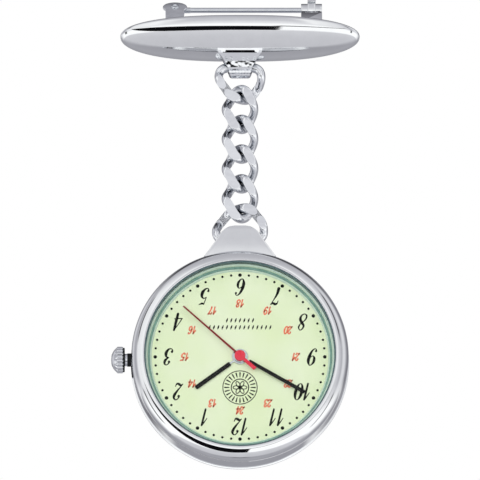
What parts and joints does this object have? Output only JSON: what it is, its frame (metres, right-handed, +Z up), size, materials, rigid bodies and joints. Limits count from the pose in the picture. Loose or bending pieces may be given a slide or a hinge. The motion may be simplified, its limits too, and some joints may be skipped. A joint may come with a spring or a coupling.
{
  "type": "fob watch",
  "caption": "Nurse's fob watch: a chromed brooch bar with a safety pin, a curb chain and a round quartz watch hanging upside-down to its wearer's view.",
  "frame": {"origin": "on the brooch needle's axis, midway along the bar, with the needle closed", "axes": "+Z up as the watch hangs, +X to the right along the needle towards its tip, -Y towards the reader of the dial"},
  "size_m": [0.038, 0.0092, 0.0741],
  "materials": {
    "polished_chrome": "mirror-polished chrome plate",
    "brushed_back": "stainless steel with a fine circular brush",
    "plain_steel": "plain bright steel",
    "crystal_glass": "clear mineral glass",
    "seal_rubber": "black nitrile",
    "rehaut_green": "satin green-tinted ring",
    "lume_dial": "pale green luminous paint",
    "black_hand": "black lacquer",
    "red_hand": "red lacquer",
    "brass_train": "turned brass",
    "plate_nickel": "plated brass with a grained finish",
    "spacer_plastic": "white moulded nylon",
    "coil_copper": "enamelled copper wire",
    "magnet_iron": "sintered magnet and soft iron",
    "board_green": "solder-masked circuit board",
    "chip_black": "black encapsulation"
  },
  "bodies": {
    "brooch": {"bar": "polished_chrome", "bar_back": "plain_steel", "bail": "polished_chrome", "hinge_bracket": "polished_chrome", "hinge_rivet": "plain_steel", "catch_base": "polished_chrome"},
    "needle_arm": {"needle": "plain_steel"},
    "catch_sleeve": {"catch_collar": "polished_chrome"},
    "chain_1": {"link_1": "polished_chrome"},
    "chain_2": {"link_2": "polished_chrome"},
    "chain_3": {"link_3": "polished_chrome"},
    "chain_4": {"link_4": "polished_chrome"},
    "chain_5": {"link_5": "polished_chrome"},
    "chain_6": {"link_6": "polished_chrome"},
    "watch": {"case_body": "polished_chrome", "bezel": "polished_chrome", "crystal": "crystal_glass", "crystal_gasket": "seal_rubber", "rehaut": "rehaut_green", "case_back": "brushed_back", "back_gasket": "seal_rubber", "crown_tube": "plain_steel", "movement_ring": "spacer_plastic", "main_plate": "plate_nickel", "train_bridge": "plate_nickel", "bridge_screws": "plain_steel", "stator": "magnet_iron", "coil_core": "magnet_iron", "coil_winding": "coil_copper", "dial_washer": "brass_train", "circuit_board": "board_green", "quartz_can": "plain_steel", "control_chip": "chip_black", "battery": "plain_steel", "battery_clamp": "plain_steel", "dial": "lume_dial"},
    "crown_carrier": {"crown_gasket": "seal_rubber"},
    "crown_stem": {"crown": "polished_chrome", "stem": "plain_steel", "clutch_wheel": "brass_train"},
    "lever": {"setting_lever": "plain_steel"},
    "seconds": {"fourth_wheel": "brass_train", "second_hand": "red_hand"},
    "minutes": {"centre_wheel": "brass_train", "minute_hand": "black_hand"},
    "hours": {"hour_wheel": "brass_train", "hour_hand": "black_hand"},
    "third": {"third_wheel": "brass_train"},
    "fifth": {"fifth_wheel": "brass_train"},
    "motor_rotor": {"rotor": "magnet_iron"},
    "minute_works": {"minute_wheel": "brass_train"}
  },
  "joints": [
    {"name": "needle_hinge", "type": "hinge", "parent": "brooch", "child": "needle_arm", "pos_m": [-0.01, 0, 0], "axis": [0, -0.7547, 0.6561], "range_deg": [0, 70]},
    {"name": "catch_turn", "type": "hinge", "parent": "brooch", "child": "catch_sleeve", "pos_m": [0.011, 0, 0], "axis": [1, 0, 0], "range_deg": [-100, 0]},
    {"name": "link_1_swing", "type": "hinge", "parent": "brooch", "child": "chain_1", "pos_m": [0, 0, -0.0091], "axis": [1, 0, 0], "range_deg": [-20, 20]},
    {"name": "link_2_swing", "type": "hinge", "parent": "chain_1", "child": "chain_2", "pos_m": [0, 0, -0.0143], "axis": [0.7071, 0.7071, 0], "range_deg": [-15, 15]},
    {"name": "link_3_swing", "type": "hinge", "parent": "chain_2", "child": "chain_3", "pos_m": [0, 0, -0.01748], "axis": [0.7071, -0.7071, 0], "range_deg": [-15, 15]},
    {"name": "link_4_swing", "type": "hinge", "parent": "chain_3", "child": "chain_4", "pos_m": [0, 0, -0.02378], "axis": [0.7071, 0.7071, 0], "range_deg": [-15, 15]},
    {"name": "link_5_swing", "type": "hinge", "parent": "chain_4", "child": "chain_5", "pos_m": [0, 0, -0.02696], "axis": [0.7071, -0.7071, 0], "range_deg": [-15, 15]},
    {"name": "link_6_swing", "type": "hinge", "parent": "chain_5", "child": "chain_6", "pos_m": [0, 0, -0.03326], "axis": [0.7071, 0.7071, 0], "range_deg": [-15, 15]},
    {"name": "watch_swing", "type": "hinge", "parent": "chain_6", "child": "watch", "pos_m": [0, 0, -0.0369], "axis": [1, 0, 0], "range_deg": [-16, 40]},
    {"name": "crown_pull", "type": "slide", "parent": "watch", "child": "crown_carrier", "axis": [-1, 0, 0], "range_m": [0, 0.0006]},
    {"name": "crown_turn", "type": "hinge", "parent": "crown_carrier", "child": "crown_stem", "pos_m": [-0.0177, 0.00002, -0.0556], "axis": [-1, 0, 0], "continuous": true},
    {"name": "lever_turn", "type": "hinge", "parent": "watch", "child": "lever", "pos_m": [-0.0096, 0.00002, -0.058], "axis": [0, -1, 0], "range_deg": [0, 15]},
    {"name": "second_turn", "type": "hinge", "parent": "watch", "child": "seconds", "pos_m": [0, 0.00002, -0.0556], "axis": [0, 1, 0], "continuous": true},
    {"name": "minute_turn", "type": "hinge", "parent": "watch", "child": "minutes", "pos_m": [0, 0.00002, -0.0556], "axis": [0, 1, 0], "continuous": true},
    {"name": "hour_turn", "type": "hinge", "parent": "watch", "child": "hours", "pos_m": [0, 0.00002, -0.0556], "axis": [0, 1, 0], "continuous": true},
    {"name": "third_turn", "type": "hinge", "parent": "watch", "child": "third", "pos_m": [-0.0029, 0.00002, -0.0547], "axis": [0, 1, 0], "continuous": true},
    {"name": "fifth_turn", "type": "hinge", "parent": "watch", "child": "fifth", "pos_m": [0.0019, 0.00002, -0.05305], "axis": [0, 1, 0], "continuous": true},
    {"name": "rotor_turn", "type": "hinge", "parent": "watch", "child": "motor_rotor", "pos_m": [0.0034, 0.00002, -0.0513], "axis": [0, 1, 0], "continuous": true},
    {"name": "minute_wheel_turn", "type": "hinge", "parent": "watch", "child": "minute_works", "pos_m": [-0.001, 0.00002, -0.05805], "axis": [0, 1, 0], "continuous": true}
  ],
  "couplings": [
    {"joint": "minute_turn", "follows": "second_turn", "ratio": 0.016667},
    {"joint": "hour_turn", "follows": "second_turn", "ratio": 0.0013889},
    {"joint": "third_turn", "follows": "second_turn", "ratio": -0.13333},
    {"joint": "fifth_turn", "follows": "second_turn", "ratio": -5},
    {"joint": "rotor_turn", "follows": "second_turn", "ratio": 30},
    {"joint": "minute_wheel_turn", "follows": "second_turn", "ratio": -0.0055556},
    {"joint": "lever_turn", "follows": "crown_pull", "rad_per_m": 416.67}
  ]
}
